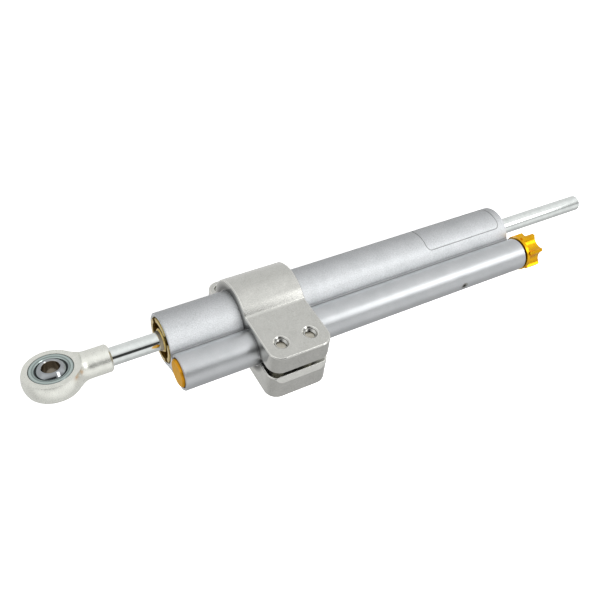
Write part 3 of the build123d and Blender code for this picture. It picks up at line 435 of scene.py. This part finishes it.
def coilSpring(name, look, around=12):
    # middle of the wire: x rises evenly while y and z go round a circle; the skin is a circle about it
    low, high = (np.array(corner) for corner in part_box(name))
    wire = look["wire"] / 2 * mm
    middle, coil = (low + high) / 2, (high[2] - low[2]) / 2 - wire
    share = np.linspace(0, 1, look["steps"])
    turn = math.pi / 2 + 2 * math.pi * look["turns"] * share
    outward = np.stack([0 * turn, np.cos(turn), np.sin(turn)], axis=1)
    path = coil * outward + [0, middle[1], middle[2]]
    path[:, 0] = low[0] + wire + (high[0] - low[0] - 2 * wire) * share
    along = np.gradient(path, axis=0)
    along /= np.linalg.norm(along, axis=1, keepdims=True)
    side = np.cross(along, outward)
    angle = np.linspace(0, 2 * math.pi, around, endpoint=False)[None, :, None]
    skin = path[:, None] + wire * (np.cos(angle) * outward[:, None] + np.sin(angle) * side[:, None])
    points = np.concatenate([skin.reshape(-1, 3), path[[0, -1]]])
    # both cut ends of the wire: a fan from the point in the middle
    foot, tip, last = len(points) - 2, len(points) - 1, (look["steps"] - 1) * around
    spot = np.arange(around)
    beside = (spot + 1) % around
    caps = [*np.stack([0 * spot + foot, beside, spot], axis=1).tolist(),
            *np.stack([0 * spot + tip, last + spot, last + beside], axis=1).tolist()]
    spring = addPiece(name + "_wound", points.tolist(), ringFaces(look["steps"], around, False) + caps,
                      finishes["spring_steel"])
    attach(spring, "body")
    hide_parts(name)
    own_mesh(spring)


for name, look in springs.items():
    coilSpring(name, look)
print("springs wound")


# Threads in the flange's two holes, above the ends of the clamp screws: M6, one millimetre of pitch.
# The radii minor, root and wall and the heights low and high are in mm. The wall lies just inside the
# metal, and the root just short of the hole's own wall.
thread = dict(minor=2.5, root=2.98, wall=3.03, pitch=1.0, low=10.43, high=11.95, around=72, up=33)


def tapHole(name, place):
    # inner wall: its radius runs from minor to root and back once for each pitch of height, and the
    # height it starts from climbs by one pitch in a turn; the outer wall is a plain cylinder
    turn = np.linspace(0, 2 * math.pi, thread["around"], endpoint=False)[:, None]
    height = np.linspace(thread["low"], thread["high"], thread["up"])[None, :]
    climb = (height / thread["pitch"] - turn / (2 * math.pi)) % 1
    inner = thread["minor"] + (thread["root"] - thread["minor"]) * np.abs(2 * climb - 1)
    outer = np.full((thread["around"], 2), thread["wall"])
    radius = np.concatenate([inner, outer], axis=1)
    level = np.concatenate([height[0], height[0, [-1, 0]]])[None, :] + 0 * radius
    x, y = place[0] + radius * np.cos(turn), place[1] + radius * np.sin(turn)
    points = np.stack([x, y, level], axis=-1) * mm
    piece = addPiece(name, points.reshape(-1, 3).tolist(),
                     ringFaces(thread["around"], radius.shape[1], True), finishes["tapped"])
    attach(piece, "body")


for name, place in flangeHoles.items():
    tapHole("flange_thread_" + name, place)
print("holes tapped")


# Camera: found by matching the rod, both tubes' ends, the eye and the clamp's holes to the photograph.
# Eye and target are in mm, roll in degrees, focal length and image side in pixels, sensor in mm, and
# what lies nearer than near or beyond far, in metres, is left out.
view = dict(eye=(-30.4, -225.15, 278.57), target=(127.58, 0.0, -4.72), roll=8.116,
            focal=762.95, image=600, sensor=36.0, near=0.01, far=20.0)


def placeCamera():
    eye, target = (np.array(view[k]) * mm for k in ("eye", "target"))
    forward = (target - eye) / np.linalg.norm(target - eye)
    right = np.cross(forward, (0, 0, 1))
    right /= np.linalg.norm(right)
    up = np.cross(right, forward)
    c, s = math.cos(math.radians(view["roll"])), math.sin(math.radians(view["roll"]))
    data = bpy.data.cameras.new("camera")
    data.sensor_width = view["sensor"]
    data.lens = view["focal"] / view["image"] * view["sensor"]
    data.clip_start, data.clip_end = view["near"], view["far"]
    camera = bpy.data.objects.new("camera", data)
    bpy.context.scene.collection.objects.link(camera)
    matrix = np.eye(4)
    matrix[:3] = np.stack([c * right + s * up, c * up - s * right, -forward, eye], axis=1)
    camera.matrix_world = Matrix(matrix.tolist())
    bpy.context.scene.camera = camera


placeCamera()


# Studio: a white sweep below the part that reflections don't see, and a surround given by the turn
# of the direction round the X axis, in degrees from straight up towards the camera's side. It is pale
# behind, brightens overhead, has a dark gap in front and a paler low front. A long soft box hangs
# high in front and to the right, and lays the bright band on both tubes. The gap is nearly black on the
# left, where the near rod mirrors it. A wide panel in front is flagged off from the polished metal and
# only lights what scatters. Box and gap lie between two turns in degrees and two sides, which are the X
# parts of the direction. Lengths are in metres, apart from the floor's drop in mm, power is in watts.
studio = dict(
    floor=dict(drop=8.0, size=3.0, glow=1.0, roughness=0.9, colour="#FFFFFF"),
    surround=[(-180, 0.55), (-150, 0.62), (-119, 0.76), (-79, 0.74), (-39, 0.76), (-19, 0.88), (1, 0.98),
              (21, 0.95), (36, 0.72), (46, 0.50), (55, 0.40), (66, 0.45), (73, 0.72), (90, 0.88),
              (111, 0.84), (141, 0.54), (168, 0.50)],
    box=dict(turn=(26.0, 55.0), turnSoft=6.0, side=(0.47, 0.64), sideSoft=0.06, glow=3.3),
    gap=dict(turn=(48.0, 74.0), turnSoft=6.0, side=(-1.0, 0.22), sideSoft=0.08, dark=0.90),
    panel=dict(turn=58.0, reach=0.9, ahead=0.15, size=(0.9, 0.5), power=13.0))


def layFloor():
    look = studio["floor"]
    size, drop = look["size"], cadBounds[0][2] - look["drop"] * mm
    material, tree, shader = newMaterial("white_sweep")[:3]
    fill(tree, shader, {"Base Color": linearColour(look["colour"]), "Roughness": look["roughness"],
                        "Emission Color": linearColour(look["colour"]), "Emission Strength": look["glow"]})
    corners = [(-size, -size, drop), (size, -size, drop), (size, size, drop), (-size, size, drop)]
    floor = addPiece("floor", corners, [(0, 1, 2, 3)], material)
    floor.visible_glossy = False


layFloor()


def between(tree, value, span, soft):
    # 1 within the span, falling smoothly to 0 over the soft width outside it
    low, high = span
    smooth = dict(interpolation_type="SMOOTHSTEP")
    rise = addNode(tree, "MapRange", [value, low - soft, low], **smooth)
    fall = addNode(tree, "MapRange", [value, high, high + soft, 1.0, 0.0], **smooth)
    return product(tree, [rise, fall])


def patch(tree, degrees, side, look):
    # 1 between the look's two turns and its two sides
    return product(tree, [between(tree, degrees, look["turn"], look["turnSoft"]),
                          between(tree, side, look["side"], look["sideSoft"])])


def lightSurround():
    world = bpy.data.worlds.new("surround")
    bpy.context.scene.world = world
    world.use_nodes = True
    tree = world.node_tree
    coords = addNode(tree, "TexCoord").outputs["Generated"]
    x, y, z = addNode(tree, "SeparateXYZ", [coords]).outputs
    # turn = atan2(-y, z), in degrees
    forward = addNode(tree, "Math", [y, -1.0], operation="MULTIPLY")
    turn = addNode(tree, "Math", [forward, z], operation="ARCTAN2")
    degrees = addNode(tree, "Math", [turn, 180 / math.pi], operation="MULTIPLY")
    grey = addNode(tree, "ValToRGB", [addNode(tree, "MapRange", [degrees, -180.0, 180.0])],
                   stops=[((angle + 180) / 360, (level, level, level, 1.0))
                          for angle, level in studio["surround"]])
    hole = patch(tree, degrees, x, studio["gap"])
    left = addNode(tree, "MapRange", [hole, 0.0, 1.0, 1.0, 1.0 - studio["gap"]["dark"]])
    dimmed = addNode(tree, "VectorMath", [grey, left], operation="MULTIPLY")
    glow = addNode(tree, "Math", [patch(tree, degrees, x, studio["box"]), studio["box"]["glow"]],
                   operation="MULTIPLY")
    both = addNode(tree, "VectorMath", [dimmed, glow], operation="ADD")
    fill(tree, tree.nodes["Background"], {"Color": both})
    world.cycles_visibility.diffuse = False


lightSurround()


def hangPanel():
    panel = studio["panel"]
    data = bpy.data.lights.new("front_panel", "AREA")
    data.shape = "RECTANGLE"
    data.size, data.size_y = panel["size"]
    data.energy = panel["power"]
    light = bpy.data.objects.new("front_panel", data)
    middle, turn = Vector((panel["ahead"], 0.0, 0.0)), math.radians(panel["turn"])
    away = Vector((0.0, -math.sin(turn), math.cos(turn)))
    light.location = middle + panel["reach"] * away
    light.rotation_euler = away.to_track_quat("Z", "X").to_euler()
    light.visible_glossy = False
    bpy.context.scene.collection.objects.link(light)


hangPanel()
bpy.context.scene.view_settings.view_transform = "Standard"
print("studio set")
